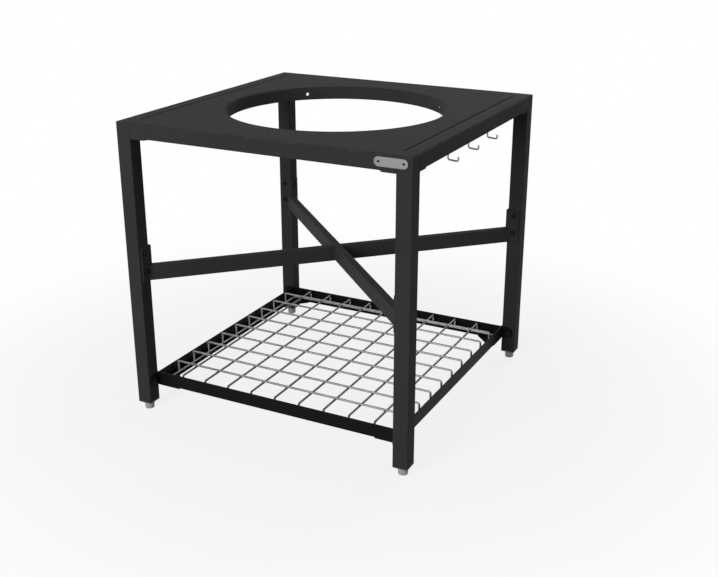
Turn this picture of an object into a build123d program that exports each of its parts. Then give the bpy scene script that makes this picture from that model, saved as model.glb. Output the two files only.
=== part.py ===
from build123d import *
import math
import os

# Grill frame: a square steel stand whose folded top has a round opening for a kettle-shaped grill.
# Millimetres, +Z up. The origin is on the floor under the centre of the opening, the front faces -Y.

# Overall size
SIDE = 760.0  # plan size, along X and along Y
HEIGHT = 750.0  # floor to top face

# Clearances
FIT = 0.3  # radial gap between a round piece and its hole
SEAM = 0.3  # gap between a leg and the folded edge beside it
REST_GAP = 0.2  # gap under a round wire that lies on a flat flange
SLOT_FIT = 0.2  # spare width of a slot round a plate

# Folded top
SHEET = 2.5
EDGE_H = 36.0  # height of the folded edges
FOLD_IN_R = 1.5  # inner radius of the folds
CROWN_H = 6.0  # height of the fold left standing over each leg
LIP_W = 12.0  # inward lip along the lower front and back edges
OPENING_D = 545.0
COLLAR_H = 33.0  # depth of the drawn collar round the opening
COLLAR_IN_R = 2.5  # inner radius where the collar turns down
COLLAR_HOLE_D = 8.0
COLLAR_HOLE_DROP = 18.0  # from the top face to the collar holes' axes
COLLAR_SEAM = 22.5  # degrees from the X axis to the seam of the collar's round faces
SLOT_W = 4.2
SLOT_INSET = 38.5  # from the side face to the slot's centre line
SLOT_END = 42.0  # from the front or back face to the slot's end

# Side channels under the top
CHANNEL_W = 43.5  # from the side face to the channel's inner face
CHANNEL_T = 2.5

# Legs, caps and levelling feet
LEG = 38.0
LEG_WALL = 2.0
LEG_R = 2.0
CAP_T = 4.0  # flange of the cap below the tube
CAP_PLUG_H = 18.0
CAP_EDGE = 1.5
FOOT_D = 25.0
FOOT_BASE_D = 23.0
FOOT_H = 20.0
FOOT_EDGE = 2.0
STUD_D = 10.0
STUD_L = 40.0  # above the pad
STUD_SEAT = 12.0  # depth to which the stud sits in the pad

# Corner brackets under the top
CORNER_T = 4.0
CORNER_REACH = 42.0  # from the leg's inner face along the edge
CORNER_SETBACK = 2.0  # from the folded edge's outer face to the plate
CORNER_CHAMFER = 8.0
CORNER_EAR = 32.0  # overlap of an ear on the leg
CORNER_BOLT_DROP = 24.0  # from the top face to the bolt axes

# Diagonal braces and their brackets
BRACE_H = 38.0
BRACE_W = 19.0
BRACE_WALL = 1.5
BRACE_Z = 351.0  # underside above the floor
BRACKET_T = 4.0
BRACKET_H = 89.0
BRACKET_EAR = 32.0
BRACKET_CORNER = 4.0
BRACKET_BOLT_LOW = 26.5  # above the bracket's lower end
BRACKET_BOLT_HIGH = 75.0

# Shelf frame
RAIL_Z = 64.0  # underside above the floor
RAIL_H = 33.0
RAIL_T = 3.0
RAIL_FLANGE = 20.0
RAIL_EAR = 32.0
GUSSET_T = 3.0
GUSSET_REACH = 64.0  # from the leg's inner face along the rail
RIVET_D = 5.0
RIVET_HEAD_D = 9.0
RIVET_HEAD_H = 1.6
RIVET_REACH = 42.0  # from the leg's inner face along the rail

# Wire shelf
WIRE_D = 5.5
RIM_D = 6.0
WIRE_COUNT = 9
WIRE_PITCH = 68.0
RIM_GAP = 6.5  # between the rim wire and the rails
RIM_CORNER = 14.0
WIRE_RISE = 6.5  # top of the upper wires above the rails
WIRE_BEND = 5.0
WELD = 0.5  # depth to which crossing wires sink into each other

# Tool hooks
HOOK_D = 4.0
HOOK_NAMES = ("front", "middle", "back")
HOOK_PITCH = 125.0
HOOK_INSET = 28.0  # from the side face to the shank's axis
HOOK_DROP = 29.0  # from the channel's underside to the arm's axis
HOOK_REACH = 25.0
HOOK_DROOP = 2.0
HOOK_TIP = 9.0
HOOK_BEND = 4.5
HOOK_HEAD_D = 11.0
HOOK_HEAD_T = 2.0
HOOK_PLAY = 0.5  # between the shank and each side of its slot
HOOK_TRAVEL = 30.0  # to each side of the middle of its slot

# Plate on the front edge
PLATE_L = 78.0
PLATE_H = 21.0
PLATE_T = 1.5
PLATE_RIM = 1.6
PLATE_RIM_H = 0.5
PLATE_INSET = 49.0  # from the right side face to the plate's centre
PLATE_DROP = 17.0  # from the top face to the plate's centre
PLATE_SCREW_PITCH = 58.0
SCREW_D = 3.0
SCREW_HEAD_D = 5.4
SCREW_HEAD_H = 1.2
SCREW_L = 9.0

# Button-head bolts
BOLT_D = 8.0
BOLT_L = 15.0
BOLT_HEAD_D = 14.0
BOLT_HEAD_H = 4.4
BOLT_HEAD_EDGE = 2.6
BOLT_SOCKET = 5.0  # across flats
BOLT_SOCKET_DEPTH = 2.4

# Levels and planes that follow from the sizes above
HALF = SIDE / 2
LEG_IN = HALF - LEG
LEG_MID = HALF - LEG / 2
LEG_BASE = FOOT_H + CAP_T
LEG_TOP = HEIGHT - CROWN_H
EDGE_Z = HEIGHT - EDGE_H
SHEET_UNDER = HEIGHT - SHEET
FOLD_R = FOLD_IN_R + SHEET
OPENING_R = OPENING_D / 2
COLLAR_R = COLLAR_IN_R + SHEET
CHANNEL_IN = HALF - CHANNEL_W
CORNER_IN = LEG_IN - CORNER_T
BRACKET_IN = LEG_IN - BRACKET_T
RAIL_IN = LEG_IN - RAIL_T
RAIL_MID_Z = RAIL_Z + RAIL_H / 2
RAIL_FLANGE_IN = LEG_IN - RAIL_FLANGE
GUSSET_Z = RAIL_Z - GUSSET_T
RIM_HALF = RAIL_IN - RIM_GAP - RIM_D / 2
RIM_Z = RAIL_Z + RAIL_T + REST_GAP + RIM_D / 2
WIRE_X_Z = RAIL_Z + RAIL_H + WIRE_RISE - WIRE_D / 2
WIRE_Y_Z = WIRE_X_Z - WIRE_D + WELD
HOOK_X = HALF - HOOK_INSET
HOOK_SLOT_W = HOOK_D + 2 * HOOK_PLAY
PLATE_X = HALF - PLATE_INSET
PLATE_Z = HEIGHT - PLATE_DROP
PLATE_SCREW_X = (PLATE_X - PLATE_SCREW_PITCH / 2, PLATE_X + PLATE_SCREW_PITCH / 2)
CUT = 5.0  # how far a cutting body runs past what it cuts
CORNERS = {"fl": (-1, -1), "fr": (1, -1), "bl": (-1, 1), "br": (1, 1)}


def block(x, y, z):
    """Box between the low and high values of x, y and z."""
    centre = Pos((x[0] + x[1]) / 2, (y[0] + y[1]) / 2, (z[0] + z[1]) / 2)
    return centre * Box(x[1] - x[0], y[1] - y[0], z[1] - z[0])


def rod(radius, start, direction, length):
    """Cylinder from start along direction."""
    seat = Plane(origin=start, z_dir=direction)
    return seat * Cylinder(radius, length, align=(Align.CENTER, Align.CENTER, Align.MIN))


def slab(points, z):
    """Plate with the plan outline points between the two values of z."""
    outline = make_face(Polyline(*points, close=True))
    return extrude(Pos(0, 0, z[0]) * outline, z[1] - z[0])


def to_corner(shape, corner):
    """Copy of a shape made for the back right corner, mirrored to another corner."""
    side, end = CORNERS[corner]
    if side < 0:
        shape = mirror(shape, about=Plane.YZ)
    if end < 0:
        shape = mirror(shape, about=Plane.XZ)
    return shape


def inner_sites(plane, level):
    """Seats of two bolts at one level of the back right leg: on its -X face and on its -Y face."""
    return [
        ((plane, LEG_MID, level), (1, 0, 0)),
        ((LEG_MID, plane, level), (0, 1, 0)),
    ]


def drill(shape, sites, radius, depth):
    """Cut a round hole at each site, from a little outside it to the depth inside."""
    for start, direction in sites:
        outside = Vector(*start) - Vector(*direction) * CUT
        shape -= rod(radius, outside, direction, depth + CUT)
    return shape


def bolt():
    """Button-head bolt on the Z axis with its head below the seat at Z = 0."""
    head = Pos(0, 0, -BOLT_HEAD_H / 2) * Cylinder(BOLT_HEAD_D / 2, BOLT_HEAD_H)
    head = fillet(head.edges().sort_by(Axis.Z)[0], BOLT_HEAD_EDGE)
    hexagon = RegularPolygon(BOLT_SOCKET / 2, 6, major_radius=False)
    head -= extrude(Pos(0, 0, -BOLT_HEAD_H) * hexagon, BOLT_SOCKET_DEPTH)
    return head + rod(BOLT_D / 2, (0, 0, 0), (0, 0, 1), BOLT_L)


def bolts_at_corners(sites):
    """Bolts at the back right leg's sites, copied to all four corners."""
    placed = [Plane(origin=start, z_dir=direction) * bolt() for start, direction in sites]
    return Compound(children=[to_corner(one, corner) for corner in CORNERS for one in placed])


def folded_block(half, low, high, radius):
    """Square block with its upper edges rounded along both directions."""
    outline = Pos(0, (low + high) / 2) * Rectangle(2 * half, high - low)
    outline = fillet(outline.vertices().sort_by(Axis.Y)[-2:], radius)
    along_y = extrude(Plane.XZ * outline, half, both=True)
    return along_y & Rot(0, 0, 90) * along_y


def collar():
    """Drawn collar: the sheet turns down through a quarter round into a vertical wall."""
    bend = OPENING_R + COLLAR_R
    bend_z = HEIGHT - COLLAR_R
    diagonal = math.sqrt(0.5)
    low = HEIGHT - COLLAR_H
    profile = [
        ThreePointArc(
            (bend, HEIGHT),
            (bend - COLLAR_R * diagonal, bend_z + COLLAR_R * diagonal),
            (OPENING_R, bend_z),
        ),
        Polyline((OPENING_R, bend_z), (OPENING_R, low), (OPENING_R + SHEET, low), (OPENING_R + SHEET, bend_z)),
        ThreePointArc(
            (OPENING_R + SHEET, bend_z),
            (bend - COLLAR_IN_R * diagonal, bend_z + COLLAR_IN_R * diagonal),
            (bend, SHEET_UNDER),
        ),
        Line((bend, SHEET_UNDER), (bend, HEIGHT)),
    ]
    return Rot(0, 0, COLLAR_SEAM) * revolve(Plane.XZ * make_face(profile), Axis.Z)


def collar_hole_sites():
    """Seats of the collar's holes, one towards each leg."""
    level = HEIGHT - COLLAR_HOLE_DROP
    return [
        ((OPENING_R * side * math.sqrt(0.5), OPENING_R * end * math.sqrt(0.5), level), (side, end, 0))
        for side, end in CORNERS.values()
    ]


def plate_screw_sites():
    """Seats of the two plate screws on the front face."""
    return [((x, -HALF, PLATE_Z), (0, 1, 0)) for x in PLATE_SCREW_X]


def top_pan():
    """Folded top with its collar, slots, lips and corner notches."""
    pan = folded_block(HALF, EDGE_Z, HEIGHT, FOLD_R)
    pan &= extrude(Pos(0, 0, EDGE_Z) * RectangleRounded(SIDE, SIDE, LEG_R), EDGE_H)
    pan -= folded_block(HALF - SHEET, EDGE_Z - CUT, SHEET_UNDER, FOLD_IN_R)
    notch = block((LEG_IN - SEAM, HALF + CUT), (LEG_IN - SEAM, HALF + CUT), (EDGE_Z - CUT, LEG_TOP))
    lip = block((-CORNER_IN, CORNER_IN), (HALF - SHEET - LIP_W, HALF - SHEET), (EDGE_Z, EDGE_Z + SHEET))
    slot = SlotOverall(SIDE - 2 * SLOT_END, SLOT_W, rotation=90)
    slot = extrude(Pos(HALF - SLOT_INSET, 0, SHEET_UNDER - CUT) * slot, SHEET + 2 * CUT)
    for corner in CORNERS:
        pan -= to_corner(notch, corner)
    pan -= Pos(0, 0, HEIGHT) * Cylinder(OPENING_R + COLLAR_R, 4 * SHEET)
    pan += [collar(), lip, mirror(lip, about=Plane.XZ)]
    pan -= [slot, mirror(slot, about=Plane.YZ)]
    pan = drill(pan, collar_hole_sites(), COLLAR_HOLE_D / 2, SHEET + CUT)
    return drill(pan, plate_screw_sites()[:1], SCREW_D / 2 + FIT, SHEET + CUT)


def side_channel():
    """Angle that closes the right folded edge into a box and stands on its own flange."""
    ends = (-CORNER_IN, CORNER_IN)
    web = block((CHANNEL_IN, CHANNEL_IN + CHANNEL_T), ends, (EDGE_Z, SHEET_UNDER))
    return web + block((CHANNEL_IN, HALF - SHEET), ends, (EDGE_Z, EDGE_Z + CHANNEL_T))


def hook_places():
    """Each hook's name and its place along the channel."""
    middle = (len(HOOK_NAMES) - 1) / 2
    return [(name, (index - middle) * HOOK_PITCH) for index, name in enumerate(HOOK_NAMES)]


def hook_channel():
    """Right side channel with a slot for each hook."""
    channel = side_channel()
    slot = SlotCenterToCenter(2 * HOOK_TRAVEL, HOOK_SLOT_W, rotation=90)
    for name, y in hook_places():
        channel -= extrude(Pos(HOOK_X, y, EDGE_Z - CUT) * slot, CHANNEL_T + 2 * CUT)
    return channel


def hook(y):
    """Bent wire hook whose flat head lies on the channel's flange."""
    seat = EDGE_Z + CHANNEL_T
    arm_z = EDGE_Z - HOOK_DROP
    crook = (HOOK_X + HOOK_REACH, y, arm_z - HOOK_DROOP)
    tip = (HOOK_X + HOOK_REACH, y, arm_z - HOOK_DROOP + HOOK_TIP)
    path = FilletPolyline((HOOK_X, y, seat), (HOOK_X, y, arm_z), crook, tip, radius=HOOK_BEND)
    wire = sweep(Plane(origin=(HOOK_X, y, seat), z_dir=(0, 0, -1)) * Circle(HOOK_D / 2), path=path)
    wire += Pos(*tip) * Sphere(HOOK_D / 2)
    return wire + rod(HOOK_HEAD_D / 2, (HOOK_X, y, seat), (0, 0, 1), HOOK_HEAD_T)


def leg(corner):
    """Square tube with the holes for its bolts; the front right leg also takes a plate screw."""
    size = LEG - 2 * LEG_WALL
    outline = RectangleRounded(LEG, LEG, LEG_R) - Rectangle(size, size)
    tube = extrude(Pos(LEG_MID, LEG_MID, LEG_BASE) * outline, LEG_TOP - LEG_BASE)
    for level in leg_bolt_levels():
        tube = drill(tube, inner_sites(LEG_IN, level), BOLT_D / 2 + FIT, LEG_WALL + FIT)
    tube = to_corner(tube, corner)
    if corner == "fr":
        tube = drill(tube, plate_screw_sites()[1:], SCREW_D / 2 + FIT, LEG_WALL + FIT)
    return tube


def bracket_bolt_levels():
    """Levels of the brace brackets' bolts."""
    return [BRACE_Z + BRACKET_BOLT_LOW, BRACE_Z + BRACKET_BOLT_HIGH]


def leg_bolt_levels():
    """Levels of all bolts on a leg's inner faces."""
    return [RAIL_MID_Z, *bracket_bolt_levels(), HEIGHT - CORNER_BOLT_DROP]


def leg_cap():
    """Plastic cap: a flange under the tube, a plug inside it and a bore for the foot's stud."""
    flange = Pos(LEG_MID, LEG_MID, FOOT_H) * extrude(RectangleRounded(LEG, LEG, LEG_R), CAP_T)
    flange = chamfer(flange.faces().sort_by(Axis.Z)[0].edges(), CAP_EDGE)
    size = LEG - 2 * LEG_WALL
    plug = Pos(LEG_MID, LEG_MID, LEG_BASE) * extrude(Rectangle(size, size), CAP_PLUG_H)
    bore = rod(STUD_D / 2 + FIT, (LEG_MID, LEG_MID, 0), (0, 0, 1), LEG_BASE + CAP_PLUG_H + CUT)
    return flange + plug - bore


def foot():
    """Pad of a levelling foot: tapered, with a blind bore for its stud."""
    pad = Cone(FOOT_BASE_D / 2, FOOT_D / 2, FOOT_H)
    pad = fillet(pad.edges().sort_by(Axis.Z)[0], FOOT_EDGE)
    pad = Pos(LEG_MID, LEG_MID, FOOT_H / 2) * pad
    return drill(pad, [((LEG_MID, LEG_MID, FOOT_H), (0, 0, -1))], STUD_D / 2 + FIT, STUD_SEAT)


def foot_stud():
    """Steel stud of a levelling foot, standing in the pad's bore."""
    return rod(STUD_D / 2, (LEG_MID, LEG_MID, FOOT_H - STUD_SEAT), (0, 0, 1), STUD_SEAT + STUD_L)


def angle_plate(inner, ear, z):
    """Angle round the back right leg's inner corner, with an ear on each inner face."""
    end = LEG_IN + ear
    return block((inner, LEG_IN), (inner, end), z) + block((inner, end), (inner, LEG_IN), z)


def top_corner():
    """Corner bracket: a chamfered plate under the folded edges and an upright angle on the leg."""
    far = HALF - CORNER_SETBACK
    near = LEG_IN - CORNER_REACH
    cut = near + CORNER_CHAMFER
    half = [(far, LEG_IN), (far, cut), (far - CORNER_CHAMFER, near), (LEG_IN - CORNER_CHAMFER, near)]
    mirrored = [(y, x) for x, y in reversed(half)]
    plate = slab([(LEG_IN, LEG_IN), *half, *mirrored], (EDGE_Z - CORNER_T, EDGE_Z))
    plate += angle_plate(CORNER_IN, CORNER_EAR, (EDGE_Z, SHEET_UNDER))
    sites = inner_sites(CORNER_IN, HEIGHT - CORNER_BOLT_DROP)
    return drill(plate, sites, BOLT_D / 2 + FIT, CORNER_T + FIT)


def brace_bracket():
    """Angle plate with two bolts on each ear and rounded ear corners."""
    top = BRACE_Z + BRACKET_H
    plate = angle_plate(BRACKET_IN, BRACKET_EAR, (BRACE_Z, top))
    ear_x = plate.edges().filter_by(Axis.Y).group_by(Axis.X)[-1]
    ear_y = plate.edges().filter_by(Axis.X).group_by(Axis.Y)[-1]
    plate = fillet(ear_x + ear_y, BRACKET_CORNER)
    for level in bracket_bolt_levels():
        plate = drill(plate, inner_sites(BRACKET_IN, level), BOLT_D / 2 + FIT, BRACKET_T + FIT)
    return plate


def brace_through():
    """Rectangular tube between the back left and front right brackets, notched to fit their corners."""
    reach = 2 * SIDE
    z = (BRACE_Z, BRACE_Z + BRACE_H)
    inside = BRACE_W / 2 - BRACE_WALL
    tube = block((-reach, reach), (-BRACE_W / 2, BRACE_W / 2), z)
    tube -= block((-reach, reach), (-inside, inside), (z[0] + BRACE_WALL, z[1] - BRACE_WALL))
    tube = Rot(0, 0, -45) * tube
    beyond = block((BRACKET_IN, reach), (-reach, -BRACKET_IN), (z[0] - CUT, z[1] + CUT))
    return tube - [beyond, mirror(mirror(beyond, about=Plane.YZ), about=Plane.XZ)]


def brace_half():
    """Tube from the through brace's side to the back right bracket."""
    reach = 2 * SIDE
    z = (BRACE_Z, BRACE_Z + BRACE_H)
    inside = BRACE_W / 2 - BRACE_WALL
    tube = block((BRACE_W / 2, reach), (-BRACE_W / 2, BRACE_W / 2), z)
    tube -= block((0, reach), (-inside, inside), (z[0] + BRACE_WALL, z[1] - BRACE_WALL))
    tube = Rot(0, 0, 45) * tube
    return tube - block((BRACKET_IN, reach), (BRACKET_IN, reach), (z[0] - CUT, z[1] + CUT))


def shelf_rail(slot_z):
    """Back rail: an upright plate with rounded ears and a mitred flange, slotted where rails cross."""
    end = LEG_IN + RAIL_EAR
    upright = Pos(0, RAIL_MID_Z) * SlotOverall(2 * end, RAIL_H)
    rail = extrude(Plane.XZ.offset(-LEG_IN) * upright, RAIL_T)
    flange = [
        (-RAIL_IN, RAIL_IN),
        (RAIL_IN, RAIL_IN),
        (RAIL_FLANGE_IN, RAIL_FLANGE_IN),
        (-RAIL_FLANGE_IN, RAIL_FLANGE_IN),
    ]
    rail += slab(flange, (RAIL_Z, RAIL_Z + RAIL_T))
    crossing = (RAIL_IN - SLOT_FIT / 2, LEG_IN + SLOT_FIT / 2)
    slot = block(crossing, (RAIL_IN - CUT, LEG_IN + CUT), slot_z)
    rail -= [slot, mirror(slot, about=Plane.YZ)]
    ear_sites = [((side * LEG_MID, RAIL_IN, RAIL_MID_Z), (0, 1, 0)) for side in (-1, 1)]
    rail = drill(rail, ear_sites, BOLT_D / 2 + FIT, RAIL_T + FIT)
    return drill(rail, rivet_sites(), RIVET_D / 2 + FIT, GUSSET_T + RAIL_T + FIT)


def rivet_sites():
    """Seats of the two rivets that join the back rail's flange to its gussets."""
    y = (RAIL_FLANGE_IN + RAIL_IN) / 2
    return [((side * (LEG_IN - RIVET_REACH), y, GUSSET_Z), (0, 0, 1)) for side in (-1, 1)]


def shelf_gusset():
    """Flat plate under two rails with a slanted inner edge."""
    near = LEG_IN - GUSSET_REACH
    outline = [
        (LEG_IN, LEG_IN),
        (near, LEG_IN),
        (near, RAIL_FLANGE_IN),
        (RAIL_FLANGE_IN, near),
        (LEG_IN, near),
    ]
    plate = slab(outline, (GUSSET_Z, RAIL_Z))
    site = rivet_sites()[1]
    flipped = ((site[0][1], site[0][0], site[0][2]), site[1])
    return drill(plate, [site, flipped], RIVET_D / 2 + FIT, GUSSET_T + FIT)


def rivet():
    """Rivet on the Z axis with a domed head below Z = 0 and its shank flush with the rail's flange."""
    head = Pos(0, 0, -RIVET_HEAD_H / 2) * Cylinder(RIVET_HEAD_D / 2, RIVET_HEAD_H)
    head = fillet(head.edges().sort_by(Axis.Z)[0], RIVET_HEAD_H / 2)
    return head + rod(RIVET_D / 2, (0, 0, 0), (0, 0, 1), GUSSET_T + RAIL_T)


def gusset_rivets():
    """Two rivets on each of the four rails."""
    on_back = [Pos(*start) * rivet() for start, direction in rivet_sites()]
    return Compound(children=[Rot(0, 0, 90 * turn) * one for turn in range(4) for one in on_back])


def bent_wire(half, level, offset):
    """Wire along X at Y = offset whose two ends turn down onto the rim."""
    points = [(-half, offset, RIM_Z), (-half, offset, level), (half, offset, level), (half, offset, RIM_Z)]
    path = FilletPolyline(*points, radius=WIRE_BEND)
    return sweep(Plane(origin=points[0], z_dir=(0, 0, 1)) * Circle(WIRE_D / 2), path=path)


def wire_shelf():
    """Welded grid: wires along X over wires along Y, all ends bent down onto one rim wire."""
    offsets = [(index - (WIRE_COUNT - 1) / 2) * WIRE_PITCH for index in range(WIRE_COUNT)]
    corners = RectangleRounded(2 * RIM_HALF, 2 * RIM_HALF, RIM_CORNER)
    rim_path = Pos(0, 0, RIM_Z) * corners.wire()
    rim = sweep(Plane(origin=(0, -RIM_HALF, RIM_Z), z_dir=(1, 0, 0)) * Circle(RIM_D / 2), path=rim_path)
    along_x = [bent_wire(RIM_HALF, WIRE_X_Z, offset) for offset in offsets]
    along_y = [Rot(0, 0, 90) * bent_wire(RIM_HALF, WIRE_Y_Z, offset) for offset in offsets]
    return rim.fuse(*along_x, *along_y)


def nameplate():
    """Bare plate with round ends, a raised border and two screw holes."""
    front = Plane(origin=(PLATE_X, -HALF, PLATE_Z), x_dir=(1, 0, 0), z_dir=(0, -1, 0))
    border = SlotOverall(PLATE_L, PLATE_H) - SlotOverall(PLATE_L - 2 * PLATE_RIM, PLATE_H - 2 * PLATE_RIM)
    plate = extrude(front * SlotOverall(PLATE_L, PLATE_H), PLATE_T)
    plate += extrude(front.offset(PLATE_T) * border, PLATE_RIM_H)
    return drill(plate, plate_screw_sites(), SCREW_D / 2 + FIT, FIT)


def nameplate_screws():
    """Two round-head screws on the front plate."""
    head = Pos(0, 0, -SCREW_HEAD_H / 2) * Cylinder(SCREW_HEAD_D / 2, SCREW_HEAD_H)
    head = fillet(head.edges().sort_by(Axis.Z)[0], SCREW_HEAD_H / 2)
    screw = head + rod(SCREW_D / 2, (0, 0, 0), (0, 0, 1), SCREW_L)
    seats = [Plane(origin=(x, -HALF - PLATE_T, PLATE_Z), z_dir=(0, 1, 0)) for x in PLATE_SCREW_X]
    return Compound(children=[seat * screw for seat in seats])


def rails():
    """The four shelf rails: the front and back ones are slotted from above, the side ones from below."""
    above = (RAIL_MID_Z, RAIL_Z + RAIL_H + CUT)
    below = (RAIL_Z - CUT, RAIL_MID_Z)
    back = shelf_rail(above)
    left = Rot(0, 0, 90) * shelf_rail(below)
    return {
        "shelf_rail_back": back,
        "shelf_rail_front": mirror(back, about=Plane.XZ),
        "shelf_rail_left": left,
        "shelf_rail_right": mirror(left, about=Plane.YZ),
    }


def build():
    """All nodes of the frame by name."""
    nodes = {
        "top_pan": top_pan(),
        "side_channel_right": hook_channel(),
        "side_channel_left": mirror(side_channel(), about=Plane.YZ),
        "brace_through": brace_through(),
        "brace_half_br": brace_half(),
        "brace_half_fl": Rot(0, 0, 180) * brace_half(),
        "wire_shelf": wire_shelf(),
        "nameplate": nameplate(),
        "nameplate_screws": nameplate_screws(),
        "gusset_rivets": gusset_rivets(),
        "top_bolts": bolts_at_corners(inner_sites(CORNER_IN, HEIGHT - CORNER_BOLT_DROP)),
        "shelf_bolts": bolts_at_corners(inner_sites(RAIL_IN, RAIL_MID_Z)),
        "brace_bolts": bolts_at_corners(
            [site for level in bracket_bolt_levels() for site in inner_sites(BRACKET_IN, level)]
        ),
        **rails(),
    }
    repeated = {
        "leg_cap": leg_cap(),
        "foot": foot(),
        "foot_stud": foot_stud(),
        "top_corner": top_corner(),
        "brace_bracket": brace_bracket(),
        "shelf_gusset": shelf_gusset(),
    }
    for corner in CORNERS:
        nodes[f"leg_{corner}"] = leg(corner)
        for name, shape in repeated.items():
            nodes[f"{name}_{corner}"] = to_corner(shape, corner)
    for name, y in hook_places():
        nodes[f"hook_{name}"] = hook(y)
    return nodes


os.makedirs("parts", exist_ok=True)
for node_name, node in build().items():
    export_step(node, f"parts/{node_name}.step")
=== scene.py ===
# %% [markdown]
# # Grill frame
# This lesson dresses a square steel stand that carries a kettle-shaped grill. The solids come from CAD: a
# folded top with a round opening, four legs, crossed braces, a wire shelf, hooks and levelling feet.
# Blender adds what CAD leaves plain: welds, screw threads, and the look of powder coat, zinc and plastic.
#
# A scene could copy the shapes by eye. Loading the solids as they are is better, because then every size
# is right and the moving pieces keep their joints.

# %% Load the solids
import math

import bpy
import numpy as np
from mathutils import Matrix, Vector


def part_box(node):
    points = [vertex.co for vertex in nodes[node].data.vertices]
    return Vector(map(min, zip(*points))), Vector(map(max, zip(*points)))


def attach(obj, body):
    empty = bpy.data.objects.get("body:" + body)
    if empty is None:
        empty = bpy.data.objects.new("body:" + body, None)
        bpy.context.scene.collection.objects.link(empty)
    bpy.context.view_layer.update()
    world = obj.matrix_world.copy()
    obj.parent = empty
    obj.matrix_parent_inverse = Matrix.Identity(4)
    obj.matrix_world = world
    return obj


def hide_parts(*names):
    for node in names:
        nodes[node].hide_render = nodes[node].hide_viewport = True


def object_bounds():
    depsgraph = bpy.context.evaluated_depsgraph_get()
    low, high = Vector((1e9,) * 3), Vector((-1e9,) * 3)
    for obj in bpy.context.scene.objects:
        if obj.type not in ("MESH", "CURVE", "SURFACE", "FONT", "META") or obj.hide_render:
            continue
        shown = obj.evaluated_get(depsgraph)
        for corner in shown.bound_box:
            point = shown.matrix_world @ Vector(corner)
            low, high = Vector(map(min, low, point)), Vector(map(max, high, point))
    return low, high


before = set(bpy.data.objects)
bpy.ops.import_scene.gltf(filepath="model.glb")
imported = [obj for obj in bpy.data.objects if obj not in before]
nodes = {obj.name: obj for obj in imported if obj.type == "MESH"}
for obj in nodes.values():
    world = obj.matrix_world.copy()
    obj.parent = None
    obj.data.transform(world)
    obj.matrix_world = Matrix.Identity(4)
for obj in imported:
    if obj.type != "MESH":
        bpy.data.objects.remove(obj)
cad_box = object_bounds()
MM = 0.001


def in_mm(box):
    """Lowest and highest corner of a box, turned from metres into millimetres."""
    return [np.asarray(corner) / MM for corner in box]


print("solids:", len(nodes), "box:", [[round(x, 4) for x in corner] for corner in cad_box])

# %% [markdown]
# ## Surfaces from rings
# Every new piece here is a stack of rings: circles that follow a line and swell or shrink on the way.
# numpy works out all the points at once, which is quicker than visiting vertices one by one, and the
# shape is then one formula.

# %% Skin a stack of rings
def skin(rings):
    """Closed surface over rings of shape (rings, points, 3).

    Quads join each ring to the next. At each end, a fan of triangles from the mean of that ring closes it.
    """
    count, around, _ = rings.shape
    points = np.vstack([rings.reshape(-1, 3), rings[0].mean(0), rings[-1].mean(0)])
    ring = np.arange(count - 1)[:, None] * around
    here = np.arange(around)
    there = (here + 1) % around
    quads = np.stack([ring + here, ring + there, ring + around + there, ring + around + here], -1)
    last = (count - 1) * around
    first_fan = np.stack([np.full(around, count * around), there, here], -1)
    last_fan = np.stack([np.full(around, count * around + 1), last + here, last + there], -1)
    return points, quads.reshape(-1, 4), np.vstack([first_fan, last_fan])


def copies(shape, places):
    """The same shape at every place: each point plus each place, the faces counted on from copy to copy."""
    points, quads, fans = shape
    places = np.asarray(places, float)
    step = np.arange(len(places))[:, None, None] * len(points)
    moved = (points[None] + places[:, None]).reshape(-1, 3)
    return moved, (quads[None] + step).reshape(-1, 4), (fans[None] + step).reshape(-1, 3)


def piece(name, shape, body):
    """Smooth mesh object at the origin that rides on a body."""
    points, quads, fans = shape
    mesh = bpy.data.meshes.new(name)
    mesh.from_pydata((points * MM).tolist(), [], quads.tolist() + fans.tolist())
    mesh.polygons.foreach_set("use_smooth", np.ones(len(mesh.polygons), bool))
    mesh.update()
    made = bpy.data.objects.new(name, mesh)
    bpy.context.scene.collection.objects.link(made)
    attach(made, body)
    print(name, "faces:", len(mesh.polygons))
    return made


# %% [markdown]
# ## Threaded studs
# Each levelling foot stands on a steel stud that screws into the cap of its leg. When the foot is turned
# out, a few turns of thread show. A bump map could suggest them, but the outline would stay straight, so
# the thread is real: the radius depends on the height and on the angle, which makes one helix. The plain
# studs give the places and the outer radius.

# %% Studs with a helical thread
THREAD_PITCH = 1.5
THREAD_DEPTH = 0.75
THREAD_SLOPE = 1.35  # steepness of the flanks
THREAD_ROOT = 0.12  # how far the wave is lowered, which flattens the root
THREAD_STEPS = 8  # rings in one turn of the thread
STUD_AROUND = 24
STUD_TAPER = 1.2
stud_low, stud_high = in_mm(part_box("foot_stud_br"))
STUD_R = (stud_high[0] - stud_low[0]) / 2
STUD_PLACE = (stud_high[0] + stud_low[0]) / 2
STUD_Z = (stud_low[2], stud_high[2])


def threaded_stud():
    """Stud on the Z axis.

    The radius is the outer radius less the thread's depth times one less a clipped triangle wave of
    (height / pitch - angle / turn). It shrinks over the last part at both ends, as a chamfer does.
    """
    rows = int((STUD_Z[1] - STUD_Z[0]) / THREAD_PITCH * THREAD_STEPS) + 1
    z = np.linspace(*STUD_Z, rows)[:, None]
    angle = np.linspace(0, 2 * np.pi, STUD_AROUND, endpoint=False)[None]
    phase = (z / THREAD_PITCH - angle / (2 * np.pi)) % 1.0
    wave = np.clip(THREAD_SLOPE * np.abs(2 * phase - 1) - THREAD_ROOT, 0, 1)
    radius = STUD_R - THREAD_DEPTH * (1 - wave)
    to_end = np.minimum(z - STUD_Z[0], STUD_Z[1] - z)
    radius = np.minimum(radius, STUD_R - STUD_TAPER + to_end)
    return skin(np.stack([radius * np.cos(angle), radius * np.sin(angle), z + 0 * angle], -1))


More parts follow.
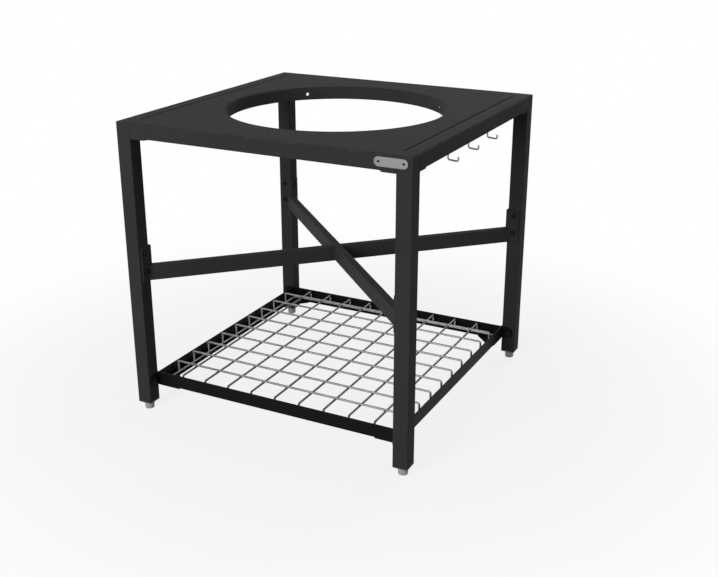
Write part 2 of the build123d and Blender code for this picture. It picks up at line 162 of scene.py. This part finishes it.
CORNERS = {"fl": (-1, -1), "fr": (1, -1), "bl": (-1, 1), "br": (1, 1)}
studs = []
for corner, (side, end) in CORNERS.items():
    place = [[side * STUD_PLACE, end * STUD_PLACE, 0.0]]
    stud = piece(f"stud_thread_{corner}", copies(threaded_stud(), place), f"foot_{corner}")
    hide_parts(f"foot_stud_{corner}")
    studs.append(stud)

# %% [markdown]
# ## Weld beads on the braces
# The two half braces are welded to the through brace where they cross, and all four ends are welded to
# their brackets. A weld made by hand is a row of overlapping puddles. It could be sculpted, but a
# saw-toothed radius along a line gives the same ripples with two numbers, their spacing and their depth.

# %% Ripple beads in the inside corners
BEAD_R = 1.7
BEAD_PITCH = 2.6
BEAD_STEPS = 7  # rings in one ripple
BEAD_AROUND = 14
BEAD_RIPPLE = 0.2
BEAD_END = 0.999  # just short of 1, where the closed end would have no radius
WANDER = (0.18, 0.108)  # how far the bead strays along X and Y
WANDER_LENGTH = 4.1  # height over which the wander's angle grows by one radian
brace_low, brace_high = in_mm(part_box("brace_through"))
BEAD_Z = (brace_low[2], brace_high[2])
BRACKET_IN = in_mm(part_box("brace_bracket_br"))[0][0]  # inner face of a bracket
BRACKET_MEET = brace_high[0]  # where the side of a brace meets that face


def weld_bead():
    """Bead along the Z axis.

    The radius falls from one ripple to the next with the square of the place within the ripple, and closes
    at the ends with the root of one less the eighth power of the place along the bead. The middle of the
    bead strays with the sine of the height.
    """
    length = BEAD_Z[1] - BEAD_Z[0]
    rows = int(length / BEAD_PITCH * BEAD_STEPS)
    along = np.linspace(-BEAD_END, BEAD_END, rows)[:, None]
    rise = (along + 1) / 2 * length
    z = BEAD_Z[0] + rise
    angle = np.linspace(0, 2 * np.pi, BEAD_AROUND, endpoint=False)[None]
    ripple = 1 - BEAD_RIPPLE * (rise / BEAD_PITCH % 1.0) ** 2
    close = np.sqrt(1 - along**8)
    radius = BEAD_R * ripple * close
    stray = np.sin(z / WANDER_LENGTH)
    x = radius * np.cos(angle) + WANDER[0] * stray
    y = radius * np.sin(angle) + WANDER[1] * stray
    return skin(np.stack([x, y, z + 0 * angle], -1))


crossing = BRACKET_MEET - BRACKET_IN
bead_places = [[crossing, 0, 0], [-crossing, 0, 0], [0, crossing, 0], [0, -crossing, 0]]
for side, end in CORNERS.values():
    bead_places += [[side * BRACKET_MEET, end * BRACKET_IN, 0], [side * BRACKET_IN, end * BRACKET_MEET, 0]]
brace_welds = piece("brace_welds", copies(weld_bead(), bead_places), "frame")

# %% [markdown]
# ## Weld nuggets on the wire shelf
# The shelf's wires are pressed together and melted by a current where they cross, which leaves a small
# lip of metal round each contact. Each lip could be modelled as a ring, but one flattened ball, repeated,
# shows as much. It has few faces because there are over a hundred.

# %% Nuggets at crossings and on the rim
WIRE_R = 2.75
RIM_R = 3.0
WIRE_PITCH = 68.0
WIRE_COUNT = 9
WIRES_SINK = 0.5  # how deep crossing wires melt into each other
shelf_low, shelf_high = in_mm(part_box("wire_shelf"))
CONTACT_Z = shelf_high[2] - 2 * WIRE_R + WIRES_SINK / 2
RIM_HALF = shelf_high[0] - RIM_R
RIM_Z = shelf_low[2] + RIM_R
NUGGET = np.array([1.27, 1.27, 0.44]) * WIRE_R
RIM_NUGGET = np.array([1.2, 1.2, 0.7]) * WIRE_R
RIM_NUGGET_RISE = 0.9  # height above the rim wire's axis, in rim radii
NUGGET_ROWS = 5
NUGGET_AROUND = 10
NUGGET_TOP = 1.35  # latitude of the last ring, in radians
print("wires touch at:", round(CONTACT_Z, 2), "rim at:", round(RIM_HALF, 2), round(RIM_Z, 2))


def nugget(size):
    """Flattened ball: a sphere in latitude and longitude, scaled by the three values of size."""
    latitude = np.linspace(-NUGGET_TOP, NUGGET_TOP, NUGGET_ROWS)[:, None]
    longitude = np.linspace(0, 2 * np.pi, NUGGET_AROUND, endpoint=False)[None]
    x = np.cos(latitude) * np.cos(longitude)
    y = np.cos(latitude) * np.sin(longitude)
    z = np.sin(latitude) + 0 * longitude
    return skin(np.stack([x, y, z], -1) * size)


line = (np.arange(WIRE_COUNT) - (WIRE_COUNT - 1) / 2) * WIRE_PITCH
across, along = (part.ravel() for part in np.meshgrid(line, line))
grid_places = np.stack([across, along, np.full(across.shape, CONTACT_Z)], -1)
rim_side = np.full(WIRE_COUNT, RIM_HALF)
rim_level = np.full(WIRE_COUNT, RIM_Z + RIM_NUGGET_RISE * RIM_R)
rim_places = np.vstack([
    np.stack([rim_side, line, rim_level], -1),
    np.stack([-rim_side, line, rim_level], -1),
    np.stack([line, rim_side, rim_level], -1),
    np.stack([line, -rim_side, rim_level], -1),
])
grid_welds = piece("shelf_grid_welds", copies(nugget(NUGGET), grid_places), "wire_shelf")
rim_welds = piece("shelf_rim_welds", copies(nugget(RIM_NUGGET), rim_places), "wire_shelf")

# %% [markdown]
# ## Writing finishes as sums
# A finish is a network of shader nodes. Dragging wires is slow to read back, so small classes let a
# finish be written as arithmetic: a Value is a socket that can be added and multiplied, Nodes adds any
# node by name, and a Finish is one material with the few kinds of node that the finishes below share.

# %% Values and nodes
class Value:
    """Output socket that takes part in sums: each operator adds one Math node."""

    def __init__(self, tree, socket):
        self.tree = tree
        self.socket = socket

    def math(self, operation, *terms):
        node = self.tree.nodes.new("ShaderNodeMath")
        node.operation = operation
        for socket, term in zip(node.inputs, terms):
            if isinstance(term, Value):
                self.tree.links.new(term.socket, socket)
            else:
                socket.default_value = term
        return Value(self.tree, node.outputs[0])

    def __add__(self, other):
        return self.math("ADD", self, other)

    def __sub__(self, other):
        return self.math("SUBTRACT", self, other)

    def __rsub__(self, other):
        return self.math("SUBTRACT", other, self)

    def __mul__(self, other):
        return self.math("MULTIPLY", self, other)

    def __truediv__(self, other):
        return self.math("DIVIDE", self, other)

    def __pow__(self, other):
        return self.math("POWER", self, other)

    def __abs__(self):
        return self.math("ABSOLUTE", self)

    def most(self, other):
        return self.math("MAXIMUM", self, other)

    def fraction(self):
        return self.math("FRACT", self)

    __radd__ = __add__
    __rmul__ = __mul__


class Nodes:
    """A node tree with one way to add any node."""

    def __init__(self, tree):
        self.tree = tree

    def add(self, kind, settings, inputs, output=0):
        """Add a node: its settings first, then a value or a link for each named or numbered socket."""
        node = self.tree.nodes.new(kind)
        for name, setting in settings.items():
            setattr(node, name, setting)
        for name, term in inputs.items():
            if isinstance(term, Value):
                self.tree.links.new(term.socket, node.inputs[name])
            else:
                node.inputs[name].default_value = term
        return Value(self.tree, node.outputs[output])

    def seen(self):
        """1 for rays from the camera, a reflection or a clear material, 0 for light that falls on things."""
        rays = ("Is Camera Ray", "Is Glossy Ray", "Is Transmission Ray")
        camera_ray, glossy_ray, clear_ray = [self.add("ShaderNodeLightPath", {}, {}, ray) for ray in rays]
        return camera_ray.most(glossy_ray).most(clear_ray)


# %% Finishes
# A Mix node has sockets for every kind of data, so those for colours go by their numbers.
MIX_SHARE = 0
MIX_FIRST = 6
MIX_SECOND = 7
MIX_RESULT = 2


class Finish(Nodes):
    """Material on Object coordinates around one Principled shader."""

    def __init__(self, name, **constants):
        self.material = bpy.data.materials.new(name)
        self.material.use_nodes = True
        super().__init__(self.material.node_tree)
        self.shader = self.tree.nodes["Principled BSDF"]
        for socket, value in constants.items():
            self.shader.inputs[socket.replace("_", " ")].default_value = value
        self.place = self.add("ShaderNodeTexCoord", {}, {}, "Object")

    def axis(self, name):
        return self.add("ShaderNodeSeparateXYZ", {}, {"Vector": self.place}, name)

    def noise(self, scale, detail=2.0, place=None):
        inputs = {"Vector": place or self.place, "Scale": scale, "Detail": detail}
        return self.add("ShaderNodeTexNoise", {}, inputs)

    def stretched(self, x, y, z):
        """Object coordinates multiplied along each axis, for streaks."""
        return self.add("ShaderNodeVectorMath", {"operation": "MULTIPLY"}, {0: self.place, 1: (x, y, z)})

    def ease(self, value, low, high):
        """0 below low, 1 above high and a smooth step between."""
        inputs = {"Value": value, "From Min": low, "From Max": high}
        return self.add("ShaderNodeMapRange", {"interpolation_type": "SMOOTHSTEP"}, inputs)

    def blend(self, share, first, second):
        """Colour between two colours: the first at share 0 and the second at share 1."""
        def colour(part):
            return part if isinstance(part, Value) else (*part, 1.0)
        inputs = {MIX_SHARE: share, MIX_FIRST: colour(first), MIX_SECOND: colour(second)}
        return self.add("ShaderNodeMix", {"data_type": "RGBA"}, inputs, MIX_RESULT)

    def bump(self, height, distance, strength):
        inputs = {"Height": height, "Distance": distance, "Strength": strength}
        return self.add("ShaderNodeBump", {}, inputs)

    def feed(self, **sockets):
        """Link each value to the shader's socket of that name, and hand over the material."""
        for socket, value in sockets.items():
            self.tree.links.new(value.socket, self.shader.inputs[socket.replace("_", " ")])
        print(self.material.name, "nodes:", len(self.tree.nodes))
        return self.material


def dress(material, objects):
    """Give every object this one material."""
    for item in objects:
        item.data.materials.clear()
        item.data.materials.append(material)


def named(*starts):
    """CAD nodes whose names begin with one of the words."""
    return [item for name, item in nodes.items() if name.startswith(starts)]


# %% [markdown]
# ## Black powder coat
# Powder is sprayed on dry and baked, so it flows into a matte film with a fine grain and a soft orange
# peel. A plain dark colour would look like a silhouette. Three noises of different sizes make it a
# surface: a wide one for uneven film, a middle one for the peel and a fine one for the grain. Along the
# outer folds of the top the film is thinner and rubbed.

# %% Powder coat finish
RUB_SIDE = (0.0035, 0.0005)  # metres in from the sides where the rub starts, and where it is full
RUB_TOP = (0.0045, 0.0008)  # metres below the top where the rub starts, and where it is full


def powder_coat():
    coat = Finish("black_powder_coat", Specular_IOR_Level=0.05)
    thin_film = (0.025, 0.0243, 0.0231)
    thick_film = (0.040, 0.0390, 0.0370)
    speck_grey = (0.075, 0.074, 0.071)
    rubbed_grey = (0.085, 0.084, 0.080)
    cloud = coat.noise(scale=5.0, detail=3.0)
    peel = coat.noise(scale=210.0)
    grain = coat.noise(scale=850.0, detail=3.0)
    side = cad_box[1][0]
    top = cad_box[1][2]
    reach = abs(coat.axis("X")).most(abs(coat.axis("Y")))
    near_side = coat.ease(reach, side - RUB_SIDE[0], side - RUB_SIDE[1])
    near_top = coat.ease(coat.axis("Z"), top - RUB_TOP[0], top - RUB_TOP[1])
    rub = near_side * near_top * coat.ease(coat.noise(scale=40.0, detail=3.0), 0.42, 0.62)
    film = coat.blend(cloud, thin_film, thick_film)
    specked = coat.blend(coat.ease(grain, 0.5, 0.7) * 0.32, film, speck_grey)
    colour = coat.blend(rub * 0.35, specked, rubbed_grey)
    rough = 0.6 + cloud * 0.12 + grain * 0.1 - rub * 0.08
    relief = coat.bump(peel * 0.2 + grain * 0.6, distance=0.0009, strength=0.7)
    return coat.feed(Base_Color=colour, Roughness=rough, Normal=relief)


coated = named("top_", "side_channel", "leg_", "brace_")
coated = [item for item in coated if "bolts" not in item.name and "cap" not in item.name]
dress(powder_coat(), coated + [brace_welds])
print("powder coated:", len(coated) + 1)

# %% [markdown]
# ## Satin paint on the shelf rails
# The angle rails and gussets round the shelf are smoother and blacker than the rest, as if painted from
# another batch. The same network with other numbers would do, but paint has no grain: it has slow waves
# from the brush or spray and a little dust, so this finish keeps only those and is a little shinier.

# %% Satin paint finish
def satin_paint():
    paint = Finish("satin_black_paint", Specular_IOR_Level=0.045)
    thin_film = (0.0045, 0.0045, 0.0043)
    thick_film = (0.0075, 0.0074, 0.0071)
    dust_grey = (0.022, 0.022, 0.021)
    cloud = paint.noise(scale=7.0, detail=3.0)
    wave = paint.noise(scale=120.0)
    dust = paint.ease(paint.noise(scale=420.0, detail=3.0), 0.6, 0.8)
    film = paint.blend(cloud, thin_film, thick_film)
    colour = paint.blend(dust * 0.3, film, dust_grey)
    rough = 0.42 + cloud * 0.1 + dust * 0.15
    relief = paint.bump(wave, distance=0.0003, strength=0.35)
    return paint.feed(Base_Color=colour, Roughness=rough, Normal=relief)


rails = named("shelf_rail", "shelf_gusset")
dress(satin_paint(), rails)
print("painted rails and gussets:", len(rails))

# %% [markdown]
# ## Zinc on drawn wire
# The shelf and hooks are drawn wire with a thin zinc layer. Drawing leaves fine lines along the wire, the
# zinc is slightly blotchy, and the welds leave a dull ring. One even grey metal would look like plastic
# chrome. The lines need the wire's direction, which the height tells: the upper wires run along X and the
# lower ones along Y. The lower wires also get painted shade: their colour is darker than the upper ones'.

# %% Zinc wire finish
LAYER_BLUR = 0.00015  # metres above and below the contact over which the two layers blend
LOWER_SHADE_DEPTH = (0.0075, 0.0055)  # metres below the contact over which the painted shade on the lower wires comes in
LOWER_SHADE_SIDE = (0.003, 0.004)  # metres from a lower wire's axis over which its painted shade ends
WELD_RING = (0.003, 0.0085)  # metres from a crossing over which the dull ring fades
GRID_START = 100.5  # pitches added before the fraction: a hundred to stay above zero, and a half


def zinc_wire():
    zinc = Finish("zinc_wire", Metallic=1.0)
    dark_blotch = (0.20, 0.20, 0.20)
    light_blotch = (0.28, 0.28, 0.276)
    line_grey = (0.155, 0.155, 0.152)
    # painted shade: the colour that darkens the lower wires
    painted_shade_grey = (0.04, 0.04, 0.039)
    ring_grey = (0.14, 0.137, 0.13)
    pitch = WIRE_PITCH * MM
    touch = CONTACT_Z * MM
    height = zinc.axis("Z")

    def off_wire(name):
        """Distance along one axis from the nearest wire."""
        return abs((zinc.axis(name) / pitch + GRID_START).fraction() - 0.5) * pitch

    off_x = off_wire("X")
    off_y = off_wire("Y")
    upper = zinc.ease(height, touch - LAYER_BLUR, touch + LAYER_BLUR)
    above_rim = zinc.ease(height, touch - LOWER_SHADE_DEPTH[0], touch - LOWER_SHADE_DEPTH[1])
    # painted shade: this mask marks the lower wires, whose colour is darkened below
    lower = above_rim * (1.0 - zinc.ease(off_x, *LOWER_SHADE_SIDE)) * (1.0 - upper)
    ring = 1.0 - zinc.ease((off_x * off_x + off_y * off_y) ** 0.5, *WELD_RING)
    along_x = zinc.noise(1.0, detail=3.0, place=zinc.stretched(14.0, 1500.0, 1500.0))
    along_y = zinc.noise(1.0, detail=3.0, place=zinc.stretched(1500.0, 14.0, 1500.0))
    lines = along_y + upper * (along_x - along_y)
    blotch = zinc.noise(scale=85.0, detail=3.0)
    metal = zinc.blend(zinc.ease(blotch, 0.3, 0.7), dark_blotch, light_blotch)
    lined = zinc.blend(zinc.ease(lines, 0.35, 0.75) * 0.35, metal, line_grey)
    # painted shade darkens the lower wires' colour
    shade_darkened = zinc.blend(lower * 0.8, lined, painted_shade_grey)
    colour = zinc.blend(ring * 0.15, shade_darkened, ring_grey)
    rough = 0.36 + blotch * 0.14 + ring * 0.06
    relief = zinc.bump(lines, distance=0.00006, strength=0.5)
    return zinc.feed(Base_Color=colour, Roughness=rough, Normal=relief)


wires = named("wire_shelf", "hook_")
dress(zinc_wire(), wires + [grid_welds, rim_welds])
print("zinc wire:", len(wires) + 2)

# %% [markdown]
# ## Plated studs and the brushed plate
# The studs are plated steel with a cloudy shine, and the front plate is brushed along its length. A
# picture of brushed metal could be laid over the plate, but a noise drawn out along it and squeezed
# across it gives the same lines at any size.

# %% Stud and plate finishes
def plated_steel():
    plated = Finish("plated_stud_steel", Metallic=1.0)
    blotch = plated.noise(scale=180.0, detail=3.0)
    colour = plated.blend(blotch, (0.46, 0.46, 0.45), (0.62, 0.615, 0.59))
    return plated.feed(Base_Color=colour, Roughness=0.26 + blotch * 0.2)


def brushed_plate():
    plate = Finish("brushed_plate", Metallic=1.0)
    lines = plate.noise(1.0, detail=4.0, place=plate.stretched(22.0, 60.0, 5200.0))
    broad = plate.noise(1.0, place=plate.stretched(9.0, 20.0, 700.0))
    colour = plate.blend(lines * 0.6 + broad * 0.4, (0.125, 0.125, 0.125), (0.26, 0.26, 0.255))
    relief = plate.bump(lines, distance=0.00004, strength=0.5)
    return plate.feed(Base_Color=colour, Roughness=0.3 + lines * 0.22, Normal=relief)


dress(plated_steel(), studs + named("foot_stud"))
dress(brushed_plate(), [nodes["nameplate"]])

# %% [markdown]
# ## Plastics and fasteners
# The feet and caps are moulded plastic with a faint grain from the mould. They differ only in colour and
# shine, so one function makes both, where two networks would say the same thing twice. The bolts, screws
# and rivets are blackened steel with a dull shine and a few paler scuffs.

# %% Plastic and fastener finishes
def moulded(name, dark, light, roughness):
    """Moulded plastic: two close colours in soft clouds, and a fine grain from the mould."""
    plastic = Finish(name)
    cloud = plastic.noise(scale=60.0, detail=3.0)
    grain = plastic.noise(scale=1500.0)
    colour = plastic.blend(cloud, dark, light)
    relief = plastic.bump(grain, distance=0.00012, strength=0.5)
    return plastic.feed(Base_Color=colour, Roughness=roughness + grain * 0.15, Normal=relief)


def blackened_steel():
    steel = Finish("blackened_steel", Specular_IOR_Level=0.1)
    cloud = steel.noise(scale=220.0, detail=3.0)
    scuff = steel.ease(steel.noise(scale=900.0, detail=4.0), 0.6, 0.78)
    oxide = steel.blend(cloud, (0.003, 0.003, 0.003), (0.006, 0.006, 0.006))
    colour = steel.blend(scuff * 0.5, oxide, (0.03, 0.03, 0.03))
    return steel.feed(Base_Color=colour, Roughness=0.34 + cloud * 0.16)


feet = [item for item in named("foot_") if "stud" not in item.name]
dress(moulded("grey_foot_plastic", (0.31, 0.31, 0.305), (0.40, 0.40, 0.39), 0.45), feet)
dress(moulded("black_cap_plastic", (0.016, 0.016, 0.016), (0.024, 0.024, 0.024), 0.42), named("leg_cap"))
fasteners = [item for name, item in nodes.items() if name.endswith(("bolts", "screws", "rivets"))]
dress(blackened_steel(), fasteners)
print("feet:", len(feet), "fastener groups:", len(fasteners))

# %% [markdown]
# ## Studio
# The photograph is a cut-out on white. The floor is pale and matt near the frame, so that it keeps a soft
# shadow, and turns white further out. It lies a hair below the feet, so that no two faces share a plane,
# and it is clear from below. More light could make the floor white, but it would bleach the frame as
# well. So the white is only for what the camera and reflections see: the light that falls on the frame
# comes from an even grey sky and large lamps, at a level where a colour looks as it is written.

# %% Floor
FLOOR_R = 9.0
FLOOR_Z = -0.0003
FLOOR_RINGS = 24
FLOOR_AROUND = 64
FLOOR_CORE = 0.02  # number of the first ring, where the last one's is 1
FLOOR_FADE = (0.5, 1.5)  # metres from the middle between which the floor turns white
FLOOR_WHITE = 0.82  # share of white at the middle
PAPER_LIT = (0.4, 0.4, 0.4)  # colour of the light that the floor throws back on the frame
PAPER_SEEN = (0.88, 0.88, 0.875)  # colour of the floor in the picture


def disc(radius):
    """Flat disc: rings of points whose distance from the middle is the radius times their number squared."""
    reach = np.linspace(FLOOR_CORE, 1, FLOOR_RINGS)[:, None] ** 2 * radius
    angle = np.linspace(0, 2 * np.pi, FLOOR_AROUND, endpoint=False)[None]
    rings = np.stack([reach * np.cos(angle), reach * np.sin(angle), FLOOR_Z + 0 * reach * angle], -1)
    points, quads, fans = skin(rings)
    return points, quads, fans[:FLOOR_AROUND]


points, quads, fans = disc(FLOOR_R)
floor_mesh = bpy.data.meshes.new("studio_floor")
floor_mesh.from_pydata(points.tolist(), [], quads[:, ::-1].tolist() + fans[:, ::-1].tolist())
floor_mesh.update()
floor = bpy.data.objects.new("studio_floor", floor_mesh)
bpy.context.scene.collection.objects.link(floor)

paper = Finish("studio_floor", Roughness=0.9, Specular_IOR_Level=0.1)
distance = (paper.axis("X") * paper.axis("X") + paper.axis("Y") * paper.axis("Y")) ** 0.5
shown = paper.seen()
paper.feed(Base_Color=paper.blend(shown, PAPER_LIT, PAPER_SEEN))
whiten = shown * (FLOOR_WHITE + (1.0 - FLOOR_WHITE) * paper.ease(distance, *FLOOR_FADE))
white = paper.add("ShaderNodeEmission", {}, {"Color": (1, 1, 1, 1), "Strength": 1.0})
matt = Value(paper.tree, paper.shader.outputs[0])
lit = paper.add("ShaderNodeMixShader", {}, {0: whiten, 1: matt, 2: white})
below = paper.add("ShaderNodeNewGeometry", {}, {}, "Backfacing")
clear = paper.add("ShaderNodeBsdfTransparent", {}, {})
one_sided = paper.add("ShaderNodeMixShader", {}, {0: below, 1: lit, 2: clear})
paper.tree.links.new(one_sided.socket, paper.tree.nodes["Material Output"].inputs["Surface"])
floor_mesh.materials.append(paper.material)
print("floor radius:", FLOOR_R)

# %% Sky
AMBIENT = 0.12
world = bpy.data.worlds.new("studio_sky")
bpy.context.scene.world = world
world.use_nodes = True
sky = Nodes(world.node_tree)
background = world.node_tree.nodes["Background"]
background.inputs["Color"].default_value = (1, 1, 1, 1)
level = AMBIENT + (1.0 - AMBIENT) * sky.seen()
sky.tree.links.new(level.socket, background.inputs["Strength"])
print("sky level:", AMBIENT)

# %% [markdown]
# ## Lamps and camera
# In the photograph the top is the brightest face, the front is darker and the right side is darker still.
# One lamp overhead would leave the front black, so a wide key stands far off in front, where its light
# hardly fades from the front legs to the back ones. Weaker lamps high on the right, high behind and low
# on the left give every other side a shape. The camera stands at the photograph's angle. That picture was
# taken with a level, shifted lens; here the camera tilts down instead, so that other views stay centred.

# %% Lamps
def lamp(name, place, target, size, power):
    """Square soft lamp at a place, turned so that it shines at the target."""
    light = bpy.data.lights.new(name, "AREA")
    light.size = size
    light.energy = power
    holder = bpy.data.objects.new(name, light)
    bpy.context.scene.collection.objects.link(holder)
    aim = np.asarray(target, float) - np.asarray(place, float)
    flat = math.hypot(aim[0], aim[1])
    holder.location = place
    holder.rotation_euler = (math.atan2(flat, -aim[2]), 0, math.atan2(-aim[0], aim[1]))
    print(name, "power:", power)


lamp("front_key", place=(-0.6, -5.2, 2.0), target=(0, 0, 0.5), size=2.4, power=205)
lamp("right_high", place=(2.7, -0.7, 2.7), target=(0, 0, 0.6), size=1.4, power=9)
lamp("back_high", place=(1.0, 2.6, 2.8), target=(0, 0, 0.5), size=1.6, power=28)
lamp("left_low", place=(-3.4, 0.4, 0.7), target=(0, 0, 0.4), size=1.4, power=16)

# %% Camera
CAMERA_PLACE = (1.2322, -2.2822, 1.2696)
CAMERA_TILT = 68.88  # degrees up from straight down
CAMERA_TURN = 27.14  # degrees round from facing the back
CAMERA_LENS = 52.82
CAMERA_SENSOR = 36.0

camera = bpy.data.cameras.new("camera")
camera.lens = CAMERA_LENS
camera.sensor_width = CAMERA_SENSOR
camera.dof.use_dof = False
viewer = bpy.data.objects.new("camera", camera)
viewer.location = CAMERA_PLACE
viewer.rotation_euler = (math.radians(CAMERA_TILT), 0, math.radians(CAMERA_TURN))
bpy.context.scene.collection.objects.link(viewer)
bpy.context.scene.camera = viewer
bpy.context.scene.view_settings.view_transform = "Standard"
print("camera lens:", CAMERA_LENS, "place:", CAMERA_PLACE)
